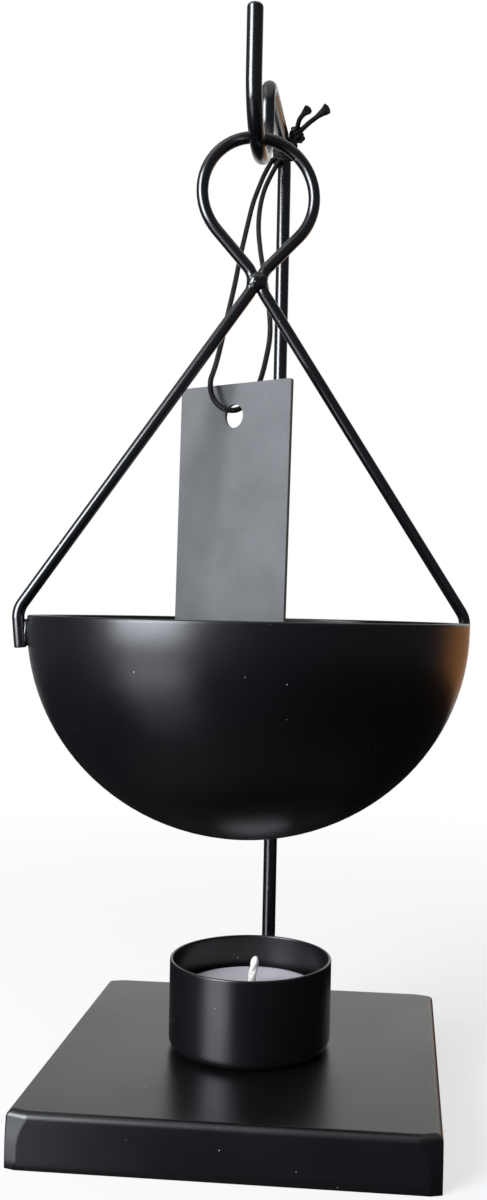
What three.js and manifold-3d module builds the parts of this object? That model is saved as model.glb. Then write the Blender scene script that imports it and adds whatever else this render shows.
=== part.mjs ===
// Amber burner: a hanging bowl on a wire bail, over a tealight in a steel holder.
// Millimetres, +Z up. The stand is built round the middle of its base, and the last
// group moves it so that the origin lies under the middle of the whole burner.

import * as THREE from 'three';
import { mergeVertices } from 'three/addons/utils/BufferGeometryUtils.js';
import Module from 'manifold-3d';

const wasm = await Module();
wasm.setup();

// Clearances shared by all pieces
const SEAT_GAP = 0.3;
const OVERRUN = 1;

// Base tray, folded from steel sheet and open underneath
const BASE_SIDE = 100;
const BASE_HEIGHT = 13.2;
const BASE_SHEET = 1;
const BASE_BEND = 1.8;
const BASE_CORNER = 3;

// Upright, one bent rod with a hook at its top
const ROD_R = 2;
const ROD_Y = 44.5;
const RUN_Z = 268.5;
const REAR_BEND = 8;
const HUMP_BEND = 7;
const HOOK_BEND = 14;
const HOOK_Z = 243.9;
const TIP_Z = 274.6;
const COLLAR_R = 3.6;
const COLLAR_HEIGHT = 1.2;
const THREAD_END = 1.5;

// Nut under the tray
const NUT_FLATS = 7;
const NUT_THICK = 3.2;
const NUT_CHAMFER = 0.4;

// Bowl, drawn from steel sheet
const BOWL_R = 55;
const BOWL_DEPTH = 55;
const BOWL_BAND = 2;
const BOWL_SHEET = 1;
const BOWL_RIM_Z = 126.7;
const BOWL_ROD_GAP = 2.5;

// Bail, one bent wire whose loop hangs in the hook
const WIRE_R = 1.5;
const LOOP_R = 14.3;
const WAIST_Z = 211.5;
const WAIST_HALF = 1.1;
const WAIST_BEND = 5.5;
const SHOULDER_BEND = 6;
const SHOULDER_DROP = 1;
const BAIL_END_DROP = 8;
const BAIL_YAW = THREE.MathUtils.degToRad(17);
const BAIL_END_LEAN = THREE.MathUtils.degToRad(5);
const BEAD_HALF_WIDTH = 2.55;
const BEAD_HALF_HEIGHT = 2.5;
const BEAD_HALF_DEPTH = 1.95;

// Tealight holder, a drawn cup welded to the tray
const HOLDER_R = 21.5;
const HOLDER_HEIGHT = 23.2;
const HOLDER_SHEET = 0.8;
const HOLDER_FILLET = 2.8;
const HOLDER_Y = 1;

// Tealight
const TEALIGHT_R = 19;
const TEALIGHT_HEIGHT = 14;
const TEALIGHT_FOIL = 0.4;
const TEALIGHT_FILLET = 1;
const WAX_LEVEL = 14.4;
const WAX_CHAMFER = 0.6;
const WICK_R = 1.1;
const WICK_STAND = 8.2;
const WICK_LEAN = 1.4;
const SUSTAINER_R = 6.5;
const SUSTAINER_THICK = 0.3;
const SUSTAINER_NECK_R = 1.8;
const SUSTAINER_NECK = 3.4;

// Card tag, which stands in the bowl; its place is measured from the bowl's axis
const TAG_WIDTH = 36;
const TAG_HEIGHT = 107.5;
const TAG_THICK = 1;
const TAG_HOLE_R = 3;
const TAG_HOLE_DROP = 8.2;
const TAG_TOP_Z = 186.4;
const TAG_X = -5.2;
const TAG_Y = 2.5;
const TAG_YAW = THREE.MathUtils.degToRad(-31.6);
const TAG_ROLL = THREE.MathUtils.degToRad(-0.9);

// Elastic cord of the tag
const CORD_R = 0.625;
const HITCH_TURNS = 2;
const HITCH_SELF_GAP = 0.45;
const HITCH_CLEARANCE = 0.45;
const KNOT_R = 2;
const KNOT_HALF_LENGTH = 2.7;

// Facets
const ROD_SIDES = 16;
const WIRE_SIDES = 12;
const CORD_SIDES = 8;
const BEND_STEP = THREE.MathUtils.degToRad(11.25);
const BOWL_SEGMENTS = 48;
const BOWL_RINGS = 14;
const CUP_SEGMENTS = 40;
const FILLET_STEPS = 4;

// The bowl hangs in front of the rod, right under the hook's lowest point
const BOWL_Y = ROD_Y - ROD_R - BOWL_ROD_GAP - BOWL_R;
const ORIGIN_Y = (BOWL_Y - BOWL_R + BASE_SIDE / 2) / 2;

// Finishes
const blackPaint = new THREE.MeshStandardMaterial({ color: '#15161a', roughness: 0.45, metalness: 0.1 });
const zincPlate = new THREE.MeshStandardMaterial({ color: '#b4b6b4', roughness: 0.4, metalness: 0.9 });
const aluminium = new THREE.MeshStandardMaterial({ color: '#c8cacc', roughness: 0.35, metalness: 1 });
const waxFinish = new THREE.MeshStandardMaterial({ color: '#d9d3e6', roughness: 0.5, metalness: 0 });
const cottonFinish = new THREE.MeshStandardMaterial({ color: '#e8dfd0', roughness: 0.9, metalness: 0 });
const cardFinish = new THREE.MeshStandardMaterial({ color: '#5d6063', roughness: 0.7, metalness: 0 });
const cordFinish = new THREE.MeshStandardMaterial({ color: '#141414', roughness: 0.8, metalness: 0 });

// A path of straight runs and round bends in one plane, as a wire bender makes it.
// across and up span the plane; a heading is an angle from across towards up.
class BentPath extends THREE.Curve {
  constructor(start, heading, across, up) {
    super();
    this.across = across;
    this.up = up;
    this.heading = heading;
    this.stations = [{ point: start.clone(), tangent: this.direction(heading) }];
  }

  direction(angle) {
    const along = this.across.clone().multiplyScalar(Math.cos(angle));
    return along.addScaledVector(this.up, Math.sin(angle));
  }

  get end() {
    return this.stations[this.stations.length - 1].point;
  }

  get steps() {
    return this.stations.length - 1;
  }

  run(length) {
    const tangent = this.direction(this.heading);
    this.stations.push({ point: this.end.clone().addScaledVector(tangent, length), tangent });
    return this;
  }

  bend(radius, turn) {
    const centre = this.end.clone().addScaledVector(this.direction(this.heading + Math.sign(turn) * Math.PI / 2), radius);
    const spoke = this.heading - Math.sign(turn) * Math.PI / 2;
    const count = Math.ceil(Math.abs(turn) / BEND_STEP);
    for (let i = 1; i <= count; i += 1) {
      const angle = turn * i / count;
      const point = centre.clone().addScaledVector(this.direction(spoke + angle), radius);
      this.stations.push({ point, tangent: this.direction(this.heading + angle) });
    }
    this.heading += turn;
    return this;
  }

  station(u) {
    return this.stations[Math.round(u * this.steps)];
  }

  getPointAt(u, target = new THREE.Vector3()) {
    return target.copy(this.station(u).point);
  }

  getTangentAt(u, target = new THREE.Vector3()) {
    return target.copy(this.station(u).tangent);
  }
}

// A winding: a helix about +Z, centred on the origin
class Winding extends THREE.Curve {
  constructor(radius, pitch, turns) {
    super();
    this.radius = radius;
    this.pitch = pitch;
    this.turns = turns;
  }

  getPoint(t, target = new THREE.Vector3()) {
    const angle = 2 * Math.PI * this.turns * t;
    const rise = this.pitch * this.turns * (t - 0.5);
    return target.set(this.radius * Math.cos(angle), this.radius * Math.sin(angle), rise);
  }
}

// Closed outlines and their operations
function ngon(radius, sides) {
  const corner = (i) => new THREE.Vector2(Math.cos(2 * Math.PI * i / sides), Math.sin(2 * Math.PI * i / sides));
  return Array.from({ length: sides }, (_, i) => corner(i).multiplyScalar(radius));
}

function arc(cx, cy, radius, from, to, steps = FILLET_STEPS) {
  return Array.from({ length: steps + 1 }, (_, i) => {
    const angle = from + (to - from) * i / steps;
    return new THREE.Vector2(cx + radius * Math.cos(angle), cy + radius * Math.sin(angle));
  });
}

function roundedSquare(side, corner) {
  const inner = side / 2 - corner;
  const outline = new THREE.Shape();
  outline.absarc(inner, inner, corner, 0, Math.PI / 2);
  outline.absarc(-inner, inner, corner, Math.PI / 2, Math.PI);
  outline.absarc(-inner, -inner, corner, Math.PI, Math.PI * 1.5);
  outline.absarc(inner, -inner, corner, Math.PI * 1.5, Math.PI * 2);
  outline.closePath();
  return outline;
}

function tube(path, radius, sides, steps) {
  const section = new THREE.Shape(ngon(radius, sides));
  return new THREE.ExtrudeGeometry(section, { steps, bevelEnabled: false, extrudePath: path });
}

function revolve(profile, segments) {
  return new THREE.LatheGeometry(profile, segments).rotateX(Math.PI / 2);
}

function cylinder(radius, from, to, sides) {
  const body = new THREE.CylinderGeometry(radius, radius, to - from, sides).rotateX(Math.PI / 2);
  return body.translate(0, 0, (from + to) / 2);
}

// Joins and cuts of closed meshes
function solid(geometry) {
  const bare = geometry.clone();
  bare.deleteAttribute('normal');
  bare.deleteAttribute('uv');
  const merged = mergeVertices(bare);
  return new wasm.Manifold(new wasm.Mesh({
    numProp: 3,
    vertProperties: new Float32Array(merged.attributes.position.array),
    triVerts: new Uint32Array(merged.index.array),
  }));
}

function geometryOf(manifold) {
  const mesh = manifold.getMesh();
  const geometry = new THREE.BufferGeometry();
  geometry.setAttribute('position', new THREE.BufferAttribute(new Float32Array(mesh.vertProperties), 3));
  geometry.setIndex(new THREE.BufferAttribute(new Uint32Array(mesh.triVerts), 1));
  geometry.computeVertexNormals();
  return geometry;
}

function piece(name, geometry, material) {
  const mesh = new THREE.Mesh(geometry, material);
  mesh.name = name;
  return mesh;
}

// Base tray: a block with rounded top edges, less the same block one sheet smaller
function foldedBlock(side, corner, bend, top) {
  const options = {
    depth: top - bend + OVERRUN,
    bevelThickness: bend,
    bevelSize: bend,
    bevelOffset: -bend,
    bevelSegments: FILLET_STEPS,
    curveSegments: FILLET_STEPS,
  };
  return new THREE.ExtrudeGeometry(roundedSquare(side, corner), options).translate(0, 0, -OVERRUN);
}

function baseTray() {
  const outer = solid(foldedBlock(BASE_SIDE, BASE_CORNER, BASE_BEND, BASE_HEIGHT));
  const inner = solid(foldedBlock(
    BASE_SIDE - 2 * BASE_SHEET,
    BASE_CORNER - BASE_SHEET,
    BASE_BEND - BASE_SHEET,
    BASE_HEIGHT - BASE_SHEET,
  ));
  const belowHeight = BASE_BEND + 2 * OVERRUN;
  const belowSide = BASE_SIDE + 2 * OVERRUN;
  const below = solid(new THREE.BoxGeometry(belowSide, belowSide, belowHeight).translate(0, 0, -belowHeight / 2));
  const hole = cylinder(ROD_R + SEAT_GAP, 0, BASE_HEIGHT + OVERRUN, ROD_SIDES).translate(0, ROD_Y, 0);
  return piece('base_tray', geometryOf(outer.subtract(inner).subtract(below).subtract(solid(hole))), blackPaint);
}

// Upright: up from the thread, back bend, level run, hump, hook and tip
const UNDER_TOP = BASE_HEIGHT - BASE_SHEET;
const NUT_Z = UNDER_TOP - NUT_THICK;
const ROD_FOOT_Z = NUT_Z - THREAD_END;

function uprightPath() {
  const start = new THREE.Vector3(0, ROD_Y, ROD_FOOT_Z);
  const forward = new THREE.Vector3(0, -1, 0);
  const up = new THREE.Vector3(0, 0, 1);
  const runStart = ROD_Y - REAR_BEND;
  const runEnd = BOWL_Y + HOOK_BEND + HUMP_BEND;
  return new BentPath(start, Math.PI / 2, forward, up)
    .run(RUN_Z - REAR_BEND - ROD_FOOT_Z)
    .bend(REAR_BEND, -Math.PI / 2)
    .run(runStart - runEnd)
    .bend(HUMP_BEND, -Math.PI / 2)
    .run(RUN_Z - HUMP_BEND - HOOK_Z - HOOK_BEND)
    .bend(HOOK_BEND, Math.PI)
    .run(TIP_Z - HOOK_Z - HOOK_BEND);
}

function upright() {
  const path = uprightPath();
  const rod = solid(tube(path, ROD_R, ROD_SIDES, path.steps));
  const collar = cylinder(COLLAR_R, BASE_HEIGHT, BASE_HEIGHT + COLLAR_HEIGHT, ROD_SIDES).translate(0, ROD_Y, 0);
  return piece('upright', geometryOf(rod.add(solid(collar))), blackPaint);
}

function uprightNut() {
  const cornerR = NUT_FLATS / Math.sqrt(3);
  const hex = solid(cylinder(cornerR, NUT_Z, UNDER_TOP, 6));
  const bore = solid(cylinder(ROD_R + SEAT_GAP, NUT_Z - OVERRUN, UNDER_TOP + OVERRUN, ROD_SIDES));
  const halfThick = NUT_THICK / 2;
  const cone = [
    new THREE.Vector2(0, -halfThick),
    new THREE.Vector2(cornerR - NUT_CHAMFER, -halfThick),
    new THREE.Vector2(cornerR, NUT_CHAMFER - halfThick),
    new THREE.Vector2(cornerR, halfThick - NUT_CHAMFER),
    new THREE.Vector2(cornerR - NUT_CHAMFER, halfThick),
    new THREE.Vector2(0, halfThick),
  ];
  const turned = solid(revolve(cone, CUP_SEGMENTS).translate(0, 0, NUT_Z + halfThick));
  const mesh = piece('upright_nut', geometryOf(hex.intersect(turned).subtract(bore)), zincPlate);
  mesh.position.y = ROD_Y;
  return mesh;
}

// Drawn cups share one profile: flat foot, round corner, straight wall, open top
function cupProfile(radius, height, sheet, fillet) {
  const rim = sheet / 2;
  return [
    new THREE.Vector2(0, 0),
    ...arc(radius - fillet, fillet, fillet, -Math.PI / 2, 0),
    ...arc(radius - rim, height - rim, rim, 0, Math.PI),
    ...arc(radius - fillet, fillet, fillet - sheet, 0, -Math.PI / 2),
    new THREE.Vector2(0, sheet),
  ];
}

function tealightHolder() {
  const profile = cupProfile(HOLDER_R, HOLDER_HEIGHT, HOLDER_SHEET, HOLDER_FILLET);
  const mesh = piece('tealight_holder', revolve(profile, CUP_SEGMENTS), blackPaint);
  mesh.position.set(0, HOLDER_Y, BASE_HEIGHT);
  return mesh;
}

// Bowl: a straight band at the rim, then a quarter of an ellipse down to the axis
function bowlCurve(radius, depth, from, to) {
  return Array.from({ length: BOWL_RINGS + 1 }, (_, i) => {
    const angle = from + (to - from) * i / BOWL_RINGS;
    return new THREE.Vector2(radius * Math.sin(angle), -BOWL_BAND - depth * Math.cos(angle));
  });
}

function bowl() {
  const rim = BOWL_SHEET / 2;
  const outerDepth = BOWL_DEPTH - BOWL_BAND;
  const profile = [
    ...bowlCurve(BOWL_R, outerDepth, 0, Math.PI / 2),
    ...arc(BOWL_R - rim, -rim, rim, 0, Math.PI),
    ...bowlCurve(BOWL_R - BOWL_SHEET, outerDepth - BOWL_SHEET, Math.PI / 2, 0),
  ];
  const mesh = piece('bowl', revolve(profile, BOWL_SEGMENTS), blackPaint);
  mesh.position.z = BOWL_RIM_Z;
  return mesh;
}

function bowlOuterR(drop) {
  const depth = BOWL_DEPTH - BOWL_BAND;
  return BOWL_R * Math.sqrt(1 - (Math.max(drop - BOWL_BAND, 0) / depth) ** 2);
}

// A straight run between two bends that turn opposite ways
function crossingRun(across, rise, radii, side) {
  const distance = Math.hypot(across, rise);
  return {
    heading: Math.atan2(rise, across) + side * Math.asin(radii / distance),
    length: Math.sqrt(distance ** 2 - radii ** 2),
  };
}

// Bail: each half runs from the loop's top, through the waist, to its end on the bowl
const LOOP_TOP_Z = HOOK_Z + ROD_R + SEAT_GAP + WIRE_R;

function bailHalfPath(side) {
  const waistX = WAIST_HALF + WAIST_BEND;
  const endX = bowlOuterR(BAIL_END_DROP) + SEAT_GAP + WIRE_R;
  const endRise = BAIL_END_DROP - SHOULDER_DROP;
  const shoulderX = endX + endRise * Math.tan(BAIL_END_LEAN) - SHOULDER_BEND * Math.cos(BAIL_END_LEAN);
  const shoulderZ = BOWL_RIM_Z - SHOULDER_DROP + SHOULDER_BEND * Math.sin(BAIL_END_LEAN);
  const neck = crossingRun(waistX, WAIST_Z - (LOOP_TOP_Z - LOOP_R), LOOP_R + WAIST_BEND, -1);
  const leg = crossingRun(shoulderX - waistX, shoulderZ - WAIST_Z, WAIST_BEND + SHOULDER_BEND, 1);
  const down = -Math.PI / 2 - BAIL_END_LEAN;
  const across = new THREE.Vector3(side, 0, 0);
  return new BentPath(new THREE.Vector3(0, 0, LOOP_TOP_Z), 0, across, new THREE.Vector3(0, 0, 1))
    .bend(LOOP_R, neck.heading)
    .run(neck.length)
    .bend(WAIST_BEND, leg.heading - neck.heading)
    .run(leg.length)
    .bend(SHOULDER_BEND, down - leg.heading)
    .run(endRise / Math.cos(BAIL_END_LEAN));
}

function bail() {
  const halves = [-1, 1].map((side) => {
    const path = bailHalfPath(side);
    return solid(tube(path, WIRE_R, WIRE_SIDES, path.steps));
  });
  const bead = new THREE.SphereGeometry(1, WIRE_SIDES * 2, WIRE_SIDES)
    .scale(BEAD_HALF_WIDTH, BEAD_HALF_DEPTH, BEAD_HALF_HEIGHT)
    .translate(0, 0, WAIST_Z);
  const mesh = piece('bail', geometryOf(halves[0].add(halves[1]).add(solid(bead))), blackPaint);
  mesh.rotation.z = BAIL_YAW;
  return mesh;
}

// Tealight: foil cup, wax with its wick, and the sustainer that holds the wick
const CUP_FLOOR = TEALIGHT_FOIL;
const NECK_TOP = CUP_FLOOR + SUSTAINER_NECK;
const WICK_FOOT = CUP_FLOOR + SUSTAINER_THICK + SEAT_GAP;

function tealightCup() {
  const profile = cupProfile(TEALIGHT_R, TEALIGHT_HEIGHT, TEALIGHT_FOIL, TEALIGHT_FILLET);
  return piece('tealight_cup', revolve(profile, CUP_SEGMENTS), aluminium);
}

function tealightWax() {
  const outerR = TEALIGHT_R - TEALIGHT_FOIL - SEAT_GAP;
  const boreR = WICK_R + SEAT_GAP;
  const neckHoleR = SUSTAINER_NECK_R + SEAT_GAP;
  const plateTop = CUP_FLOOR + SUSTAINER_THICK + SEAT_GAP;
  const profile = [
    new THREE.Vector2(SUSTAINER_R + SEAT_GAP, CUP_FLOOR),
    new THREE.Vector2(outerR - TEALIGHT_FILLET, CUP_FLOOR),
    new THREE.Vector2(outerR, CUP_FLOOR + TEALIGHT_FILLET),
    new THREE.Vector2(outerR, WAX_LEVEL - WAX_CHAMFER),
    new THREE.Vector2(outerR - WAX_CHAMFER, WAX_LEVEL),
    new THREE.Vector2(boreR, WAX_LEVEL),
    new THREE.Vector2(boreR, NECK_TOP + SEAT_GAP),
    new THREE.Vector2(neckHoleR, NECK_TOP + SEAT_GAP),
    new THREE.Vector2(neckHoleR, plateTop),
    new THREE.Vector2(SUSTAINER_R + SEAT_GAP, plateTop),
  ];
  profile.push(profile[0].clone());
  return piece('tealight_wax', revolve(profile, CUP_SEGMENTS), waxFinish);
}

function wickSustainer() {
  const plateTop = CUP_FLOOR + SUSTAINER_THICK;
  const bore = WICK_R + SEAT_GAP / 2;
  const profile = [
    new THREE.Vector2(0, CUP_FLOOR),
    new THREE.Vector2(SUSTAINER_R, CUP_FLOOR),
    new THREE.Vector2(SUSTAINER_R, plateTop),
    new THREE.Vector2(SUSTAINER_NECK_R, plateTop),
    new THREE.Vector2(SUSTAINER_NECK_R, NECK_TOP),
    new THREE.Vector2(bore, NECK_TOP),
    new THREE.Vector2(bore, plateTop),
    new THREE.Vector2(0, plateTop),
  ];
  return piece('wick_sustainer', revolve(profile, CUP_SEGMENTS), zincPlate);
}

function wick() {
  const wickTop = WAX_LEVEL + WICK_STAND;
  const path = new THREE.CatmullRomCurve3([
    new THREE.Vector3(0, 0, WICK_FOOT),
    new THREE.Vector3(0, 0, WAX_LEVEL / 2),
    new THREE.Vector3(0, 0, WAX_LEVEL),
    new THREE.Vector3(WICK_LEAN / 2, 0, WAX_LEVEL + WICK_STAND / 2),
    new THREE.Vector3(WICK_LEAN, 0, wickTop),
  ]);
  return piece('wick', tube(path, WICK_R, CORD_SIDES, WIRE_SIDES), cottonFinish);
}

function tealight() {
  const group = new THREE.Group();
  group.position.set(0, HOLDER_Y, BASE_HEIGHT + HOLDER_SHEET);
  group.add(tealightCup(), tealightWax(), wickSustainer(), wick());
  return group;
}

// Card tag: drawn flat with its top edge's middle at the origin, then stood up
function cardTag() {
  const half = TAG_WIDTH / 2;
  const outline = new THREE.Shape([
    new THREE.Vector2(-half, -TAG_HEIGHT),
    new THREE.Vector2(half, -TAG_HEIGHT),
    new THREE.Vector2(half, 0),
    new THREE.Vector2(-half, 0),
  ]);
  const hole = ngon(TAG_HOLE_R, ROD_SIDES * 2).map((p) => new THREE.Vector2(p.x, p.y - TAG_HOLE_DROP));
  outline.holes.push(new THREE.Path(hole));
  const card = new THREE.ExtrudeGeometry(outline, { depth: TAG_THICK, bevelEnabled: false });
  card.translate(0, 0, -TAG_THICK / 2).rotateZ(TAG_ROLL).rotateX(Math.PI / 2);
  const mesh = piece('tag', card, cardFinish);
  mesh.rotation.z = TAG_YAW;
  mesh.position.set(TAG_X, TAG_Y, TAG_TOP_Z);
  return mesh;
}

// The cord's free stretch: hitch, down in front of the card, back through its hole, up
const CORD_POINTS = [
  [-3.2, 40.4, 263.1], [-5.1, 37.3, 257.7], [-6.5, 34.2, 252.2], [-7.5, 31.2, 247.2],
  [-8.4, 26.0, 238.7], [-9.2, 20.2, 229.4], [-9.8, 13.2, 218.6], [-10.5, 7.0, 209.4],
  [-11.1, 0.7, 200.5], [-11.5, -5.0, 193.6], [-11.7, -9.1, 189.9], [-11.9, -11.3, 187.7],
  [-11.8, -12.3, 185.6], [-11.2, -13.1, 183.4], [-9.8, -13.8, 181.2], [-7.6, -13.9, 179.7],
  [-5.2, -12.8, 179.7], [-3.6, -11.2, 180.8], [-2.3, -9.3, 182.5], [-0.9, -7.1, 185.4],
  [0.2, -4.4, 189.6], [1.0, -1.0, 195.3], [1.4, 3.4, 202.5], [0.2, 9.4, 212.0],
  [-2.0, 15.9, 222.1], [-3.9, 21.4, 230.6], [-5.2, 26.6, 238.6], [-5.4, 31.0, 246.0],
  [-4.6, 34.6, 252.4], [-3.1, 37.7, 257.7], [-1.4, 39.8, 262.1],
];
const CORD_STEPS = 80;

function tagCord() {
  const points = CORD_POINTS.map(([x, y, z]) => new THREE.Vector3(x, y, z));
  const path = new THREE.CatmullRomCurve3(points);
  return piece('tag_cord', tube(path, CORD_R, CORD_SIDES, CORD_STEPS), cordFinish);
}

// The cord's hitch: two turns round the middle of the rod's back bend
function leastSelfGap(curve, diameter) {
  const points = curve.getSpacedPoints(48 * curve.turns);
  const apart = 24;
  let least = Infinity;
  for (let i = 0; i < points.length; i += 1) {
    for (let j = i + apart; j < points.length; j += 1) {
      least = Math.min(least, points[i].distanceTo(points[j]) - diameter);
    }
  }
  return least;
}

function cordHitch() {
  const cordD = 2 * CORD_R;
  const winding = new Winding(ROD_R + HITCH_CLEARANCE + CORD_R, cordD + HITCH_SELF_GAP, HITCH_TURNS);
  console.log(`hitch: least gap to itself ${leastSelfGap(winding, cordD).toFixed(2)} mm`);
  const mesh = piece('cord_hitch', tube(winding, CORD_R, 6, 24 * HITCH_TURNS), cordFinish);
  const slant = Math.PI / 4;
  mesh.rotation.x = slant;
  mesh.position.set(0, ROD_Y - REAR_BEND * (1 - Math.cos(slant)), RUN_Z - REAR_BEND * (1 - Math.sin(slant)));
  return mesh;
}

// The knot lies beside the level run, with the cord's two cut ends above it
const KNOT_X = ROD_R + SEAT_GAP + KNOT_R;
const KNOT_Y = ROD_Y - REAR_BEND;

function cordKnot() {
  const ball = new THREE.SphereGeometry(1, WIRE_SIDES, CORD_SIDES).scale(KNOT_R, KNOT_R, KNOT_HALF_LENGTH);
  const mesh = piece('cord_knot', ball, cordFinish);
  mesh.position.set(KNOT_X, KNOT_Y, RUN_Z + SEAT_GAP);
  return mesh;
}

const TAIL_STEPS = 6;
const SHORT_TAIL = [[4.7, 34.8, 270.9], [5.2, 33.6, 271.9], [6.4, 31.8, 272.7], [7.9, 30.0, 273.4]];
const LONG_TAIL = [[6.4, 35.6, 270.5], [7.9, 34.2, 271.2], [10.3, 32.2, 272.1], [13.6, 30.0, 273.6]];

function cordTail(name, route) {
  const path = new THREE.CatmullRomCurve3(route.map(([x, y, z]) => new THREE.Vector3(x, y, z)));
  return piece(name, tube(path, CORD_R, CORD_SIDES, TAIL_STEPS), cordFinish);
}

// Assembly
function hanger() {
  const group = new THREE.Group();
  group.position.y = BOWL_Y;
  group.add(bowl(), bail(), cardTag());
  return group;
}

const burner = new THREE.Group();
burner.position.y = -ORIGIN_Y;
burner.add(baseTray(), upright(), uprightNut(), tealightHolder());
burner.add(tealight(), hanger());
burner.add(tagCord(), cordHitch(), cordKnot());
burner.add(cordTail('cord_tail_short', SHORT_TAIL), cordTail('cord_tail_long', LONG_TAIL));

export default burner;
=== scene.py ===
import math
from functools import partial

import bmesh
import bpy
from bmesh.types import BMEdge, BMFace, BMVert
from bpy.props import FloatProperty, FloatVectorProperty, PointerProperty
from bpy.types import Operator, Panel, PropertyGroup
from mathutils import Matrix, Vector, noise


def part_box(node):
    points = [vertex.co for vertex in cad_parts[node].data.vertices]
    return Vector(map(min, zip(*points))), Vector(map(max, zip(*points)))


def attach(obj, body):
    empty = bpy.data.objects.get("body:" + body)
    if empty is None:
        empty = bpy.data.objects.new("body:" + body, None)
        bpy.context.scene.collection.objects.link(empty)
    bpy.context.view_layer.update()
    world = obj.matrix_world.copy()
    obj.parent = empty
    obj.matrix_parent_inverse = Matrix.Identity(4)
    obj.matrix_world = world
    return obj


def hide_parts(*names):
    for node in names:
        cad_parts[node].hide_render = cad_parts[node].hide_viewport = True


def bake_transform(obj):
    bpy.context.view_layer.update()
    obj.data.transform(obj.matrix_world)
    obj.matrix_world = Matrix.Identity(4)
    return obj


bl_info = {
    "name": "Amber burner",
    "version": (1, 0, 0),
    "blender": (4, 5, 0),
    "location": "View3D > Sidebar > Burner",
    "description": "Dresses the frame of a hanging bowl burner with its visible pieces and finishes",
    "category": "Add Mesh",
}

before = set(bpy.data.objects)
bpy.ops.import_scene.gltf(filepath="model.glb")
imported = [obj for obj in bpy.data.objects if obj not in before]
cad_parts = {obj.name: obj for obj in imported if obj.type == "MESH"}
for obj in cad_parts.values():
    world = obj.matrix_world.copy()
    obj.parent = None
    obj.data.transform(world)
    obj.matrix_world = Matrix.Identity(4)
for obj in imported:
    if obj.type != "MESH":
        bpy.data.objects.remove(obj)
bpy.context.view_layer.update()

SHARP_ANGLE, EDGE_ANGLE = math.radians(40), math.radians(50)
QUARTER = math.radians(90)
MERGE = 1e-6
# Sides of the round wires, and steps round the turned pieces
ROD_SIDES, WIRE_SIDES, WICK_SIDES = 32, 24, 16
COLLAR_STEPS, CUP_STEPS, BOWL_STEPS = 48, 96, 128


# Colours, nodes and finished objects


def linear(code):
    """The linear colour of an sRGB hex value such as "1a1b1e"."""
    parts = [int(code[i : i + 2], 16) / 255 for i in (0, 2, 4)]
    return [c / 12.92 if c <= 0.04045 else ((c + 0.055) / 1.055) ** 2.4 for c in parts]


def add_node(tree, kind, inputs=None, **settings):
    """Adds a node with its settings.

    inputs maps a socket to a value, an output, or a node, whose first output in use is linked to it.
    """
    made = tree.nodes.new("ShaderNode" + kind)
    for key, value in settings.items():
        setattr(made, key, value)
    for key, value in (inputs or {}).items():
        if isinstance(value, bpy.types.Node):
            value = next(output for output in value.outputs if output.enabled)
        if isinstance(value, bpy.types.NodeSocket):
            tree.links.new(value, made.inputs[key])
        elif made.inputs[key].type == "RGBA":
            made.inputs[key].default_value = (*value, 1)
        else:
            made.inputs[key].default_value = value
    return made


def node_adder(owner):
    """Empties the nodes of a material or a world, and gives the function that adds one to them."""
    owner.use_nodes = True
    owner.node_tree.nodes.clear()
    return partial(add_node, owner.node_tree)


def new_material(name):
    material = bpy.data.materials.new(name)
    return material, node_adder(material)


def give_surface(add, sockets):
    """Ends a material with its principled shader."""
    add("OutputMaterial", {"Surface": add("BsdfPrincipled", sockets)})


def finish_piece(bm, name, body, node, slot, *finishes):
    """Turns a bmesh into an object that rides on its body and stands for its frame node."""
    mesh = bpy.data.meshes.new(name)
    bm.to_mesh(mesh)
    bm.free()
    for finish in finishes:
        mesh.materials.append(finish)
    mesh.shade_smooth()
    mesh.set_sharp_from_angle(angle=SHARP_ANGLE)
    piece = bpy.data.objects.new(name, mesh)
    bpy.context.scene.collection.objects.link(piece)
    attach(piece, body)
    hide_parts(node)
    return piece


def give_wall(piece, thickness, edge=0.0):
    """Thickens a sheet inwards and rounds its cut edge."""
    wall = piece.modifiers.new("Sheet", "SOLIDIFY")
    wall.thickness = thickness
    wall.offset = -1
    wall.use_even_offset = True
    if edge:
        rounding = piece.modifiers.new("Edge", "BEVEL")
        rounding.width = edge
        rounding.segments = 3
        rounding.limit_method = "ANGLE"
        rounding.angle_limit = EDGE_ANGLE


def weigh_normals(piece):
    """Keeps large flat faces flat to the eye beside their rounded edges."""
    piece.modifiers.new("Flat faces", "WEIGHTED_NORMAL").keep_sharp = True


# Shapes by bending, turning and drawing out


def only(geom, kind):
    return [g for g in geom if isinstance(g, kind)]


def ring(bm, radius, sides, place):
    """A wire bender's feed: one ring of edges, ready to be drawn out."""
    verts = bmesh.ops.create_circle(bm, segments=sides, radius=radius, matrix=place)["verts"]
    return verts + list({edge for v in verts for edge in v.link_edges})


def trace(bm, geom, at, heading, axis, moves, step=math.radians(7.5)):
    """Draws geom along straight runs and round bends, and gives its last edges.

    A move is (length, 0) or (radius, turn about axis).
    """
    at, heading, axis = Vector(at), Vector(heading), Vector(axis)
    for size, turn in moves:
        if not turn:
            made = bmesh.ops.spin(bm, geom=geom, cent=at, axis=axis, dvec=heading * size, angle=0, steps=1)
            at = at + heading * size
        else:
            centre = at + axis.cross(heading) * size * math.copysign(1, turn)
            steps = max(2, math.ceil(abs(turn) / step))
            made = bmesh.ops.spin(bm, geom=geom, cent=centre, axis=axis, angle=turn, steps=steps)
            turned = Matrix.Rotation(turn, 3, axis)
            at = centre + turned @ (at - centre)
            heading = turned @ heading
        geom = only(made["geom_last"], (BMVert, BMEdge))
    return geom


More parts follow.
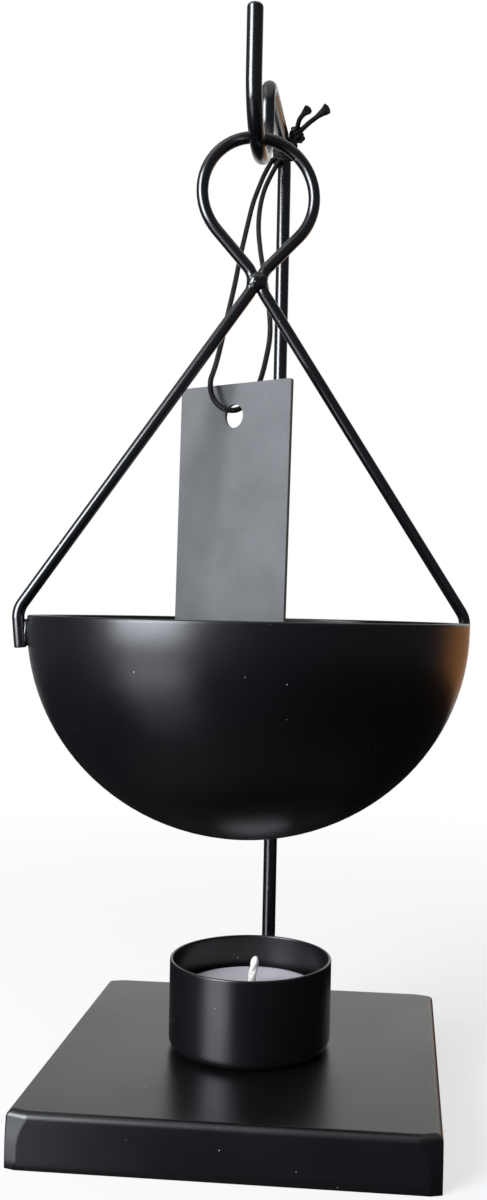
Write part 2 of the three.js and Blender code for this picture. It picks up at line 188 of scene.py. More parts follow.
def lathe(bm, centre, steps):
    """Turns everything in bm once round the upright line through centre."""
    geom = bm.verts[:] + bm.edges[:]
    bmesh.ops.spin(
        bm, geom=geom, cent=centre, axis=(0, 0, 1), angle=4 * QUARTER, steps=steps, use_merge=True
    )
    bmesh.ops.remove_doubles(bm, verts=bm.verts[:], dist=MERGE)
    bmesh.ops.recalc_face_normals(bm, faces=bm.faces[:])


def round_off(bm, geom, size, segments, affect="EDGES"):
    """Rounds edges, or the corners of a flat outline."""
    bmesh.ops.bevel(
        bm,
        geom=geom,
        offset=size,
        segments=segments,
        profile=0.5,
        affect=affect,
        material=-1,
        clamp_overlap=affect == "EDGES",
    )


def cap(bm, edges, rounding, steps=3):
    """Closes a tube's end and rounds the edge of the cut."""
    face = bmesh.ops.contextual_create(bm, geom=edges)["faces"][0]
    round_off(bm, list(face.edges), rounding, steps)


def smooth_route(points, spacing):
    """Points about one spacing apart on the centripetal curve through the given points."""
    points = [Vector(p) for p in points]
    points = [points[0] * 2 - points[1], *points, points[-1] * 2 - points[-2]]
    line = [points[1]]
    for p0, p1, p2, p3 in zip(points, points[1:], points[2:], points[3:]):
        t1 = (p1 - p0).length ** 0.5
        t2 = t1 + (p2 - p1).length ** 0.5
        t3 = t2 + (p3 - p2).length ** 0.5
        count = max(2, math.ceil((p2 - p1).length / spacing))
        for i in range(1, count + 1):
            t = t1 + (t2 - t1) * i / count
            a1 = p0.lerp(p1, t / t1)
            a2 = p1.lerp(p2, (t - t1) / (t2 - t1))
            a3 = p2.lerp(p3, (t - t2) / (t3 - t2))
            b1 = a1.lerp(a2, t / t2)
            b2 = a2.lerp(a3, (t - t1) / (t3 - t1))
            line.append(b1.lerp(b2, (t - t1) / (t2 - t1)))
    return line


def frames_along(line):
    """A frame at each point of a line, with Z along it and no twist from one to the next."""
    ahead = [(b - a).normalized() for a, b in zip(line, line[1:])]
    ahead = [ahead[0], *((a + b).normalized() for a, b in zip(ahead, ahead[1:])), ahead[-1]]
    turn = ahead[0].to_track_quat("Z", "Y")
    frames = [Matrix.Translation(line[0]) @ turn.to_matrix().to_4x4()]
    for point, before, now in zip(line[1:], ahead, ahead[1:]):
        turn = before.rotation_difference(now) @ turn
        frames.append(Matrix.Translation(point) @ turn.to_matrix().to_4x4())
    return frames


def sweep(bm, line, radius, sides, girth=None):
    """Draws a ring along a line. girth gives the share of the radius at each point.

    The UV map runs once round the tube, and along it on the same scale.
    """
    girth = girth or [1] * len(line)
    frames = [f @ Matrix.Diagonal((g, g, 1, 1)) for f, g in zip(frames_along(line), girth)]
    uv = bm.loops.layers.uv.verify()
    around = 2 * math.pi * radius
    length = 0.0
    geom = ring(bm, radius, sides, frames[0])
    start = only(geom, BMEdge)
    spokes = {v: (i / sides, 0.0) for i, v in enumerate(only(geom, BMVert))}
    for before, now, a, b in zip(frames, frames[1:], line, line[1:]):
        length += (b - a).length
        made = bmesh.ops.extrude_edge_only(bm, edges=only(geom, BMEdge))["geom"]
        verts = only(made, BMVert)
        step = now @ before.inverted()
        for v in verts:
            old = next(e.other_vert(v) for e in v.link_edges if e.other_vert(v) in spokes)
            spokes[v] = (spokes[old][0], length / around)
        bmesh.ops.transform(bm, matrix=step, verts=verts)
        fresh = set(verts)
        for face in only(made, BMFace):
            turns = [spokes[loop.vert][0] for loop in face.loops]
            wraps = max(turns) - min(turns) > 0.5
            for loop, u in zip(face.loops, turns):
                loop[uv].uv = (u + 1 if wraps and u < 0.5 else u, spokes[loop.vert][1])
        geom = verts + [edge for edge in only(made, BMEdge) if set(edge.verts) <= fresh]
    bmesh.ops.contextual_create(bm, geom=start)
    bmesh.ops.contextual_create(bm, geom=only(geom, BMEdge))
    bmesh.ops.recalc_face_normals(bm, faces=bm.faces[:])


def measure(node):
    """The middle of the foot of a frame node's box, half its width and its height."""
    low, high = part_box(node)
    foot = (low + high) / 2
    foot.z = low.z
    return foot, (high.x - low.x) / 2, high.z - low.z


# Sizes and colours


def colour_setting(name, description, code):
    return FloatVectorProperty(
        name=name, description=description, subtype="COLOR", min=0, max=1, default=linear(code)
    )


def share_setting(name, description, share):
    return FloatProperty(name=name, description=description, subtype="FACTOR", min=0, max=1, default=share)


def length_setting(name, description, length):
    return FloatProperty(name=name, description=description, unit="LENGTH", min=0.0001, default=length)


class BurnerCoat(PropertyGroup):
    colour: colour_setting("Coat colour", "Colour of the powder coat on all steel parts", "08090b")
    speck_colour: colour_setting("Speck colour", "Colour of the dust that lies on the coat", "a9aaa7")
    sheet_roughness: share_setting("Sheet roughness", "Roughness of the satin coat on the sheet parts", 0.31)
    wire_roughness: share_setting("Wire roughness", "Roughness of the smoother coat on rod and wire", 0.22)
    peel: length_setting("Orange peel", "Width of one wave of the coat's surface", 0.0011)


class BurnerSheet(PropertyGroup):
    tray_sheet: length_setting("Tray sheet", "Thickness of the tray's steel", 0.001)
    tray_bend: length_setting("Tray bend", "Radius of the fold round the tray's top", 0.0018)
    ground_low: length_setting("Ground corner, low", "Width of a corner's ground flat at its foot", 0.0027)
    ground_high: length_setting("Ground corner, high", "Width of a corner's ground flat at the fold", 0.0048)
    bowl_sheet: length_setting("Bowl sheet", "Thickness of the bowl's steel", 0.001)
    holder_sheet: length_setting("Holder sheet", "Thickness of the holder's steel", 0.0008)


class BurnerCandle(PropertyGroup):
    wax_colour: colour_setting("Wax colour", "Colour of the wax", "efe8ee")
    wick_colour: colour_setting("Wick colour", "Colour of the waxed cotton", "fffaf0")
    foil_colour: colour_setting("Foil colour", "Colour of the cup's aluminium", "d3d4d6")


class BurnerTag(PropertyGroup):
    card_colour: colour_setting("Card colour", "Colour of the printed face of the card", "5d5e5e")
    core_colour: colour_setting("Core colour", "Colour of the card's cut edge", "bdb9ae")
    cord_colour: colour_setting("Cord colour", "Colour of the elastic cord", "0d0c0c")
    # Painted highlight: the pale colour put on the crowns of the cord's braid
    crown_highlight_colour: colour_setting("Fleck colour", "Colour of the cord's raised threads", "2f2d2b")
    cord: length_setting("Cord", "Diameter of the cord", 0.0014)


class BurnerStage(PropertyGroup):
    floor_colour: colour_setting("Floor colour", "Colour of the floor", "28282a")
    window_power: FloatProperty(
        name="Window", description="Power of the tall window's light", unit="POWER", default=10.8
    )
    wall_light: FloatProperty(
        name="Wall", description="Brightness of the pale wall behind the burner", min=0, default=1.0
    )


# Materials


# Sockets of a Mix node that mixes colours
SHARE, FIRST, SECOND = 0, 6, 7


def powder_coat(coat, name, roughness, relief, gloss, varnish):
    """Satin black powder coat: polyester powder baked onto steel.

    It melts into a low orange peel, which breaks the edge of each soft highlight, and holds some dust.
    """
    material, add = new_material(name)
    place = add("TexCoord").outputs["Object"]
    # The peel's waves are about 1 mm wide, and the grain between them a quarter of that
    peel = add("TexNoise", {"Vector": place, "Scale": 1 / coat.peel, "Detail": 2.0})
    grain = add("TexNoise", {"Vector": place, "Scale": 4 / coat.peel, "Detail": 1.0})
    low = add("Bump", {"Height": peel, "Strength": 0.35 * relief, "Distance": 0.00003})
    bump = add("Bump", {"Height": grain, "Strength": 0.25 * relief, "Distance": 0.00001, "Normal": low})
    cloud = add("TexNoise", {"Vector": place, "Scale": 1 / 0.03, "Detail": 3.0})
    smoother, rougher = roughness * 0.9, roughness * 1.1
    rough = add(
        "MapRange", {"Value": cloud, "From Min": 0.3, "From Max": 0.7, "To Min": smoother, "To Max": rougher}
    )
    # Dust: a cell every 3 mm, of which only some hold a grain large enough to show
    cells = add("TexVoronoi", {"Vector": place, "Scale": 1 / 0.003})
    chance = add("SeparateColor", {"Color": cells.outputs["Color"]})
    size = add(
        "MapRange", {"Value": chance.outputs["Red"], "From Min": 0.45, "From Max": 1.0, "To Max": 0.062}
    )
    speck = add("Math", {0: cells, 1: size}, operation="LESS_THAN")
    colour = add("Mix", {SHARE: speck, FIRST: coat.colour, SECOND: coat.speck_colour}, data_type="RGBA")
    give_surface(
        add,
        {
            "Base Color": colour,
            "Roughness": rough,
            "Normal": bump,
            "IOR": 1.5,
            "Specular IOR Level": gloss,
            "Coat Weight": varnish,
            "Coat Roughness": 0.18,
        },
    )
    return material


def zinc_plate():
    """Bright zinc on a steel nut: plated crystals 0.6 mm wide, with a faint blue cast."""
    material, add = new_material("bright_zinc_plated_steel")
    place = add("TexCoord").outputs["Object"]
    crystals = add("TexVoronoi", {"Vector": place, "Scale": 1 / 0.0006})
    tone = add("Mix", {SHARE: crystals, FIRST: linear("c3c7ca"), SECOND: linear("9ba0a3")}, data_type="RGBA")
    bump = add("Bump", {"Height": crystals, "Strength": 0.2, "Distance": 0.00001})
    give_surface(add, {"Base Color": tone, "Metallic": 1.0, "Roughness": 0.34, "Normal": bump})
    return material


def drawn_foil(candle):
    """Soft aluminium foil, drawn into a cup.

    Fine upright draw lines and shallow wrinkles about 2 mm apart break its reflections.
    """
    material, add = new_material("drawn_aluminium_foil")
    place = add("TexCoord").outputs["Object"]
    drawn = add("Mapping", {"Vector": place, "Scale": (1, 1, 0.06)})
    lines = add("TexNoise", {"Vector": drawn, "Scale": 1 / 0.0007, "Detail": 3.0})
    folds = add("TexNoise", {"Vector": drawn, "Scale": 1 / 0.002, "Detail": 1.0})
    low = add("Bump", {"Height": folds, "Strength": 0.4, "Distance": 0.0001})
    bump = add("Bump", {"Height": lines, "Strength": 0.3, "Distance": 0.00003, "Normal": low})
    dark = tuple(c * 0.86 for c in candle.foil_colour)
    tone = add("Mix", {SHARE: lines, FIRST: candle.foil_colour, SECOND: dark}, data_type="RGBA")
    give_surface(add, {"Base Color": tone, "Metallic": 1.0, "Roughness": 0.3, "Normal": bump})
    return material


def paraffin_wax(candle):
    """Poured paraffin wax: light goes a few millimetres in, so its edges glow.

    It set with faint crystals some millimetres wide under a dull skin.
    """
    material, add = new_material("poured_paraffin_wax")
    place = add("TexCoord").outputs["Object"]
    crystals = add("TexNoise", {"Vector": place, "Scale": 1 / 0.0035, "Detail": 4.0})
    skin = add("TexNoise", {"Vector": place, "Scale": 1 / 0.0008, "Detail": 2.0})
    deep = tuple(c * 0.93 for c in candle.wax_colour)
    tone = add("Mix", {SHARE: crystals, FIRST: deep, SECOND: candle.wax_colour}, data_type="RGBA")
    bump = add("Bump", {"Height": skin, "Strength": 0.25, "Distance": 0.00004})
    give_surface(
        add,
        {
            "Base Color": tone,
            "Roughness": 0.38,
            "IOR": 1.43,
            "Subsurface Weight": 0.25,
            "Subsurface Radius": (1.0, 0.8, 0.9),
            "Subsurface Scale": 0.003,
            "Normal": bump,
        },
    )
    return material


def waxed_cotton(candle):
    """Waxed cotton braid: dull twisted threads, drawn wide enough to show, with painted shade in the grooves
    between them.
    """
    material, add = new_material("waxed_cotton_braid")
    thread = add("UVMap").outputs["UV"]
    twist = add("Mapping", {"Vector": thread, "Rotation": (0, 0, math.radians(35))})
    threads = add("TexWave", {"Vector": twist, "Scale": 2.2, "Distortion": 1.5})
    # Painted shade: where the threads' wave is low, in the grooves, the cotton is drawn 12% darker
    deep = tuple(c * 0.88 for c in candle.wick_colour)
    tone = add(
        "Mix", {SHARE: threads.outputs["Fac"], FIRST: deep, SECOND: candle.wick_colour}, data_type="RGBA"
    )
    bump = add("Bump", {"Height": threads.outputs["Fac"], "Strength": 0.3, "Distance": 0.00004})
    give_surface(
        add,
        {
            "Base Color": tone,
            "Roughness": 0.7,
            "Subsurface Weight": 0.15,
            "Subsurface Scale": 0.001,
            "Sheen Weight": 0.2,
            "Normal": bump,
        },
    )
    return material


def printed_card(tag):
    """Uncoated grey board with a matt, slightly uneven ink, whose short fibres catch the light."""
    material, add = new_material("printed_grey_board")
    place = add("TexCoord").outputs["Object"]
    laid = add("Mapping", {"Vector": place, "Scale": (1, 1, 0.35)})
    fibres = add("TexNoise", {"Vector": laid, "Scale": 1 / 0.0005, "Detail": 4.0})
    cloud = add("TexNoise", {"Vector": place, "Scale": 1 / 0.012, "Detail": 3.0})
    uneven = add(
        "MapRange", {"Value": cloud, "From Min": 0.3, "From Max": 0.7, "To Min": 0.15, "To Max": 0.85}
    )
    ink = add("Math", {0: fibres, 1: 0.35, 2: uneven}, operation="MULTIPLY_ADD")
    pale = tuple(c * 1.22 for c in tag.card_colour)
    deep = tuple(c * 0.8 for c in tag.card_colour)
    tone = add("Mix", {SHARE: ink, FIRST: deep, SECOND: pale}, data_type="RGBA")
    bump = add("Bump", {"Height": fibres, "Strength": 0.3, "Distance": 0.00003})
    give_surface(add, {"Base Color": tone, "Roughness": 0.62, "IOR": 1.5, "Normal": bump})
    return material


def card_core(tag):
    """The card's cut edge: bare board in thin layers, pressed and cut by a die, a little fluffy."""
    material, add = new_material("cut_edge_of_board")
    place = add("TexCoord").outputs["Object"]
    layers = add("TexNoise", {"Vector": place, "Scale": 1 / 0.0003, "Detail": 3.0})
    deep = tuple(c * 0.6 for c in tag.core_colour)
    tone = add("Mix", {SHARE: layers, FIRST: deep, SECOND: tag.core_colour}, data_type="RGBA")
    bump = add("Bump", {"Height": layers, "Strength": 0.5, "Distance": 0.00006})
    give_surface(add, {"Base Color": tone, "Roughness": 0.85, "Normal": bump})
    return material


def elastic_braid(tag):
    """Elastic cord: black rayon braided over rubber.

    The crossing threads, drawn wide enough to show, carry a painted highlight: pale flecks on their crowns,
    in patches.
    """
    material, add = new_material("braided_elastic_cord")
    thread = add("UVMap").outputs["UV"]
    part = add("SeparateXYZ", {"Vector": thread})
    turns = add("Math", {0: part.outputs["X"], 1: 8 * math.pi}, operation="MULTIPLY")
    along = add("Math", {0: part.outputs["Y"], 1: 6 * math.pi}, operation="MULTIPLY")
    waves = []
    for lean in ("ADD", "SUBTRACT"):
        slant = add("Math", {0: turns, 1: along}, operation=lean)
        waves.append(add("Math", {0: slant}, operation="SINE"))
    crowns = add("Math", {0: waves[0], 1: waves[1]}, operation="MULTIPLY")
    height = add("Math", {0: crowns}, operation="ABSOLUTE")
    place = add("TexCoord").outputs["Object"]
    # Painted highlight: the crowns of the threads turn pale where this noise is high
    highlight_breakup = add("TexNoise", {"Vector": place, "Scale": 1 / 0.0011, "Detail": 2.0})
    highlight_patches = add("MapRange", {"Value": highlight_breakup, "From Min": 0.48, "From Max": 0.66, "To Max": 1.0})
    crown_highlight = add("Math", {0: height, 1: highlight_patches}, operation="MULTIPLY")
    tone = add("Mix", {SHARE: crown_highlight, FIRST: tag.cord_colour, SECOND: tag.crown_highlight_colour}, data_type="RGBA")
    bump = add("Bump", {"Height": height, "Strength": 0.45, "Distance": 0.0001})
    give_surface(
        add,
        {
            "Base Color": tone,
            "Roughness": 0.6,
            "Specular IOR Level": 0.3,
            "Sheen Weight": 0.1,
            "Sheen Roughness": 0.4,
            "Normal": bump,
        },
    )
    return material


def kept(name, make, *settings, **levels):
    """A finish that several pieces share is made once."""
    return bpy.data.materials.get(name) or make(*settings, **levels)


def sheet_coat(context):
    coat, name = context.scene.burner_coat, "satin_black_coat_on_sheet"
    return kept(name, powder_coat, coat, name, coat.sheet_roughness, relief=1.0, gloss=0.75, varnish=0.0)


def wire_coat(context):
    coat, name = context.scene.burner_coat, "satin_black_coat_on_wire"
    return kept(name, powder_coat, coat, name, coat.wire_roughness, relief=0.1, gloss=1.0, varnish=0.35)


def braid_for(context):
    return kept("braided_elastic_cord", elastic_braid, context.scene.burner_tag)


# Stage


CAMERA_PLACE = (0.037822, -0.302752, 0.129215)
CAMERA_YAW, CAMERA_PITCH, CAMERA_ROLL = 0.08706, -0.01417, -0.02104
CAMERA_FOCAL = 1186.861
CAMERA_CENTRE = (296.762, 626.868)
PHOTO_SIZE = (487, 1200)
WHITE = (1, 1, 1)
WINDOW_SIZE, WINDOW_TURN = (0.42, 0.63), math.radians(41)
WINDOW_DISTANCE, WINDOW_HEIGHT = 0.7, 0.385
FLOOR_RADIUS, FLOOR_SIDES = 0.6, 96


def make_camera(scene):
    """The camera stands where the photograph was taken, about 0.3 m from the burner."""
    yaw, pitch = CAMERA_YAW, CAMERA_PITCH
    ahead = Vector((-math.sin(yaw) * math.cos(pitch), math.cos(yaw) * math.cos(pitch), math.sin(pitch)))
    level = Vector((math.cos(yaw), math.sin(yaw), 0))
    up = level.cross(ahead)
    roll = Matrix.Rotation(-CAMERA_ROLL, 3, -ahead)
    turn = Matrix((roll @ level, roll @ up, -ahead)).transposed()
    data = bpy.data.cameras.new("camera")
    data.lens = CAMERA_FOCAL / PHOTO_SIZE[1] * data.sensor_width
    data.shift_x = (PHOTO_SIZE[0] / 2 - CAMERA_CENTRE[0]) / PHOTO_SIZE[1]
    data.shift_y = (CAMERA_CENTRE[1] - PHOTO_SIZE[1] / 2) / PHOTO_SIZE[1]
    data.clip_start = 0.01
    camera = bpy.data.objects.new("camera", data)
    camera.matrix_world = Matrix.Translation(CAMERA_PLACE) @ turn.to_4x4()
    scene.collection.objects.link(camera)
    scene.camera = camera


def make_window(scene, power):
    """The tall window at the front on the left. It faces the middle of the burner's upper half."""
    data = bpy.data.lights.new("window", "AREA")
    data.shape = "RECTANGLE"
    data.size, data.size_y = WINDOW_SIZE
    data.energy = power
    data.color = linear("f2f6ff")
    window = bpy.data.objects.new("window", data)
    across = Vector((-math.sin(WINDOW_TURN), -math.cos(WINDOW_TURN), 0)) * WINDOW_DISTANCE
    window.location = across + Vector((0, 0, WINDOW_HEIGHT))
    window.rotation_euler = (-across).to_track_quat("-Z", "Y").to_euler()
    scene.collection.objects.link(window)


def floor_finish(stage):
    """A dark lacquered table top, which mirrors the window.

    The camera sees a pale board in its place, white where it is lit, with a soft shadow by the burner.
    """
    material, add = new_material("pale_floor_board")
    # The lacquer is worn dull in a ring about the tray and behind it
    place = add("TexCoord").outputs["Object"]
    far = add("VectorMath", {0: place}, operation="LENGTH")
    worn = add("MapRange", {"Value": far, "From Min": 0.08, "From Max": 0.13, "To Min": 1.0, "To Max": 0.3})
    outside = add("MapRange", {"Value": far, "From Min": 0.2, "From Max": 0.3})
    clear = add("Math", {0: worn, 1: outside}, operation="MAXIMUM")
    back = add("SeparateXYZ", {"Vector": place})
    front = add(
        "MapRange",
        {"Value": back.outputs["Y"], "From Min": -0.03, "From Max": 0.05, "To Min": 1.0, "To Max": 0.0},
    )
    polish = add("Math", {0: clear, 1: front}, operation="MULTIPLY")
    table = add(
        "BsdfPrincipled",
        {"Base Color": stage.floor_colour, "Roughness": 0.15, "IOR": 1.5, "Specular IOR Level": polish},
    )
    board = add("BsdfDiffuse", {"Color": WHITE})
    white = add("Emission", {"Color": WHITE, "Strength": 1.0})
    # The board turns to plain white before the table ends, so that no horizon shows
    share = add(
        "MapRange",
        {"Value": far, "From Min": 0.08, "From Max": 0.5, "To Min": 0.68, "To Max": 1.0},
        interpolation_type="SMOOTHSTEP",
    )
    pale = add("MixShader", {"Fac": share, 1: board, 2: white})
    seen = add("LightPath").outputs["Is Camera Ray"]
    both = add("MixShader", {"Fac": seen, 1: table, 2: pale})
    add("OutputMaterial", {"Surface": both})
    return material


def make_floor(scene, stage):
    bm = bmesh.new()
    bmesh.ops.create_circle(bm, cap_ends=True, segments=FLOOR_SIDES, radius=FLOOR_RADIUS)
    mesh = bpy.data.meshes.new("floor")
    bm.to_mesh(mesh)
    bm.free()
    mesh.materials.append(floor_finish(stage))
    floor = bpy.data.objects.new("floor", mesh)
    scene.collection.objects.link(floor)


# Ways from the burner, which the room's parts lie about
WALL_WAY, CUPBOARD_WAY, GLOW_WAY = (0.05, 1.0, 0.1), (0.58, 0.81, 0.0), (-0.62, -0.4, 0.67)


def patch(add, way, middle_way, edge, full, levels=(0.0, 1.0)):
    """A soft patch of the room: the second level about its middle way, and the first beyond its edge."""
    near = add("VectorMath", {0: way, 1: middle_way}, operation="DOT_PRODUCT")
    return add(
        "MapRange",
        {"Value": near, "From Min": edge, "From Max": full, "To Min": levels[0], "To Max": levels[1]},
        interpolation_type="SMOOTHSTEP",
    )


def make_room(scene, stage):
    """A room with a pale wall and ceiling, dark sides and a wooden cupboard at the back on the right.

    The camera sees only white.
    """
    world = bpy.data.worlds.new("room")
    add = node_adder(world)
    way = add("TexCoord").outputs["Generated"]
    height = add("SeparateXYZ", {"Vector": way}).outputs["Z"]
    wall = patch(add, way, WALL_WAY, edge=0.7, full=0.97)
    ceiling = add(
        "MapRange",
        {"Value": height, "From Min": 0.6, "From Max": 0.85, "To Max": 0.4},
        interpolation_type="SMOOTHSTEP",
    )
    pale = add("Math", {0: wall, 1: ceiling}, operation="MAXIMUM")
    walls = add("Mix", {SHARE: pale, FIRST: linear("505257"), SECOND: linear("fdfefa")}, data_type="RGBA")
    # The cupboard is low and ends near the bowl's rim, so the wires reflect the wall
    cupboard = patch(add, way, CUPBOARD_WAY, edge=0.88, full=0.98)
    lower = add("Math", {0: height, 1: 0.08}, operation="ADD")
    level = add("Math", {0: lower}, operation="ABSOLUTE")
    top = add("MapRange", {"Value": level, "From Min": 0.1, "From Max": 0.22, "To Min": 1.0, "To Max": 0.0})
    wood = add("Math", {0: cupboard, 1: top}, operation="MULTIPLY")
    room = add("Mix", {SHARE: wood, FIRST: walls, SECOND: linear("d9955f")}, data_type="RGBA")
    # The ceiling is brightest above the window
    levels = (stage.wall_light, 2 * stage.wall_light)
    glow = patch(add, way, GLOW_WAY, edge=0.74, full=0.9, levels=levels)
    light = add("Background", {"Color": room, "Strength": glow})
    white = add("Background", {"Color": WHITE, "Strength": 1.0})
    seen = add("LightPath").outputs["Is Camera Ray"]
    both = add("MixShader", {"Fac": seen, 1: light, 2: white})
    add("OutputWorld", {"Surface": both})
    scene.world = world


class BURNER_OT_stage(Operator):
    """Make the camera, the floor, the room and its window light"""

    bl_idname = "burner.stage"
    bl_label = "Stage"

    def execute(self, context):
        scene = context.scene
        stage = scene.burner_stage
        make_camera(scene)
        make_floor(scene, stage)
        make_room(scene, stage)
        make_window(scene, stage.window_power)
        scene.view_settings.view_transform = "Standard"
        return {"FINISHED"}


# Cord of the tag


CORD_ROUTE = [
    (-0.0032, 0.0504, 0.2631), (-0.0051, 0.0473, 0.2577), (-0.0065, 0.0442, 0.2522),
    (-0.0075, 0.0412, 0.2472), (-0.0084, 0.0360, 0.2387), (-0.0092, 0.0302, 0.2294),
    (-0.0098, 0.0232, 0.2186), (-0.0105, 0.0170, 0.2094), (-0.0111, 0.0107, 0.2005),
    (-0.0115, 0.0050, 0.1936), (-0.0117, 0.0009, 0.1899), (-0.0119, -0.0013, 0.1877),
    (-0.0118, -0.0023, 0.1856), (-0.0112, -0.0031, 0.1834), (-0.0098, -0.0038, 0.1812),
    (-0.0076, -0.0039, 0.1797), (-0.0052, -0.0028, 0.1797), (-0.0036, -0.0012, 0.1808),
    (-0.0023, 0.0007, 0.1825), (-0.0009, 0.0029, 0.1854), (0.0002, 0.0056, 0.1896),
    (0.0010, 0.0090, 0.1953), (0.0014, 0.0134, 0.2025), (0.0002, 0.0194, 0.2120),
    (-0.0020, 0.0259, 0.2221), (-0.0039, 0.0314, 0.2306), (-0.0052, 0.0366, 0.2386),
    (-0.0054, 0.0410, 0.2460), (-0.0046, 0.0446, 0.2524), (-0.0031, 0.0477, 0.2577),
    (-0.0014, 0.0498, 0.2621),
]

# The hitch winds round the rod's back bend: its turns, and the rise of each turn along the bend
HITCH_FROM, HITCH_TO, HITCH_OUT = -50, -982, 2.72
HITCH_LOW, HITCH_HIGH, HITCH_APART, HITCH_STEPS = -2.7, 2.7, 1.3, 28
BEND_MIDDLE = Vector((0, 0.052157, 0.266157))
ROD_BENDS = (0.008, 0.007, 0.014)
KNOT_MIDDLE = Vector((0.0043, 0.0465, 0.2688))
TAIL_SHORT = [
    (0.0043, 0.0457, 0.2700), (0.0047, 0.0448, 0.2709), (0.0052, 0.0436, 0.2719),
    (0.0064, 0.0418, 0.2727), (0.0079, 0.0400, 0.2734),
]
TAIL_LONG = [
    (0.0054, 0.0463, 0.2698), (0.0064, 0.0456, 0.2705), (0.0079, 0.0442, 0.2712),
    (0.0103, 0.0422, 0.2721), (0.0136, 0.0400, 0.2736),
]
# Spacing of the points and sides of the tube, for the wraps, the tails and the loop
WRAP_STEP, TAIL_STEP, LOOP_STEP = 0.0003, 0.0004, 0.0006
WRAP_SIDES, TAIL_SIDES, LOOP_SIDES = 12, 16, 14
# Both ends of the cord: where each starts, its side of the hitch, and its way into the knot
CORD_ENDS = (
    (CORD_ROUTE[0], 0.5, (-0.0004, 0.0012, -0.0018)),
    (CORD_ROUTE[-1], -0.5, (-0.0004, 0.0012, -0.0028)),
)
# The knot leans. Its wraps swell, rise and slant a little, and are tucked in at both ends
KNOT_LEAN = math.radians(-24)
KNOT_RADIUS, KNOT_SWELL, KNOT_RISE, KNOT_SLANT = 0.00125, 0.0001, 0.0034, 0.0004
KNOT_TURNS, KNOT_STEPS, KNOT_TUCK = 3, 24, 4
# The core inside the wraps: its points each way from the middle, their spacing, its wave and its girth
CORE_REACH, CORE_STEP, CORE_WAVE, CORE_GIRTH = 6, 0.0004, 0.0002, 1.15
# A tail's braid opens from this share of its length on. Its cut is slanted, and ragged over its last part
FRAY_FROM, FRAY_CURVE, CUT_REACH, CUT_SLANT, CUT_RAG, RAG_SCALE = 0.6, 1.6, 3, 0.35, 0.0009, 1900


def round_the_bend(turn, distance, height):
    """A point beside the rod's back bend. Turn 0 is on its front, and the height runs along the bend."""
    bend = ROD_BENDS[0] * 1000
    lean = height / bend
    front = Vector((0, -1, -1)).normalized()
    along = Vector((0, -1, 1)).normalized()
    middle_line = (along * math.sin(lean) + front * (1 - math.cos(lean))) * bend
    front, angle = front * math.cos(lean) - along * math.sin(lean), math.radians(turn)
    side = front * math.cos(angle) + Vector((1, 0, 0)) * math.sin(angle)
    return BEND_MIDDLE + (middle_line + side * distance) * 0.001


def make_hitch(context):
    """Both ends of the cord lie side by side, wind round the rod and go on into the knot."""
    radius = context.scene.burner_tag.cord / 2
    bm = bmesh.new()
    for start, beside, into_knot in CORD_ENDS:
        points = [start]
        for i in range(HITCH_STEPS + 1):
            share = i / HITCH_STEPS
            turn = HITCH_FROM + (HITCH_TO - HITCH_FROM) * share
            height = HITCH_LOW + (HITCH_HIGH - HITCH_LOW) * share + HITCH_APART * beside
            points.append(round_the_bend(turn, HITCH_OUT, height))
        points.append(KNOT_MIDDLE + Vector(into_knot))
        sweep(bm, smooth_route(points, WRAP_STEP), radius, WRAP_SIDES)
    return finish_piece(bm, "cord_wraps", "stand", "cord_hitch", "elastic_cord", braid_for(context))


def make_knot(context):
    """An overhand knot: three slanted wraps round the ends that run through it."""
    radius = context.scene.burner_tag.cord / 2
    lean = Matrix.Translation(KNOT_MIDDLE) @ Matrix.Rotation(KNOT_LEAN, 4, "Y")
    bm = bmesh.new()
    line = []
    for i in range(-KNOT_TUCK, KNOT_TURNS * KNOT_STEPS + KNOT_TUCK):
        angle = math.radians(i * 360 / KNOT_STEPS)
        swell = KNOT_RADIUS + KNOT_SWELL * math.sin(angle / KNOT_TURNS)
        rise = (i / (KNOT_TURNS * KNOT_STEPS) - 0.5) * KNOT_RISE + KNOT_SLANT * math.sin(angle)
        line.append(lean @ Vector((swell * math.cos(angle), swell * math.sin(angle), rise)))
    sweep(bm, line, radius, WRAP_SIDES)
    places = range(-CORE_REACH, CORE_REACH + 1)
    core = [lean @ Vector((CORE_WAVE * math.sin(z + CORE_REACH), 0, z * CORE_STEP)) for z in places]
    sweep(bm, core, radius * CORE_GIRTH, WRAP_SIDES)
    return finish_piece(bm, "knot_wraps", "stand", "cord_knot", "elastic_cord", braid_for(context))


def make_tail(context, name, node, route, flare):
    """A cut end of the cord. Its braid opens towards the cut."""
    radius = context.scene.burner_tag.cord / 2
    line = smooth_route(route, TAIL_STEP)
    last = len(line) - 1
    opened = [max(0, (i / last - FRAY_FROM) / (1 - FRAY_FROM)) for i in range(last + 1)]
    bm = bmesh.new()
    sweep(bm, line, radius, TAIL_SIDES, [1 + flare * share**FRAY_CURVE for share in opened])
    end, ahead = line[-1], (line[-1] - line[-2]).normalized()
    for v in bm.verts:
        near = 1 - (v.co - end).length / (radius * CUT_REACH)
        if near > 0:
            slant = CUT_SLANT * (v.co - end).dot(Vector((0, 0, 1)))
            v.co += near * (ahead * slant + CUT_RAG * noise.noise_vector(v.co * RAG_SCALE))
    return finish_piece(bm, name, "stand", node, "elastic_cord", braid_for(context))


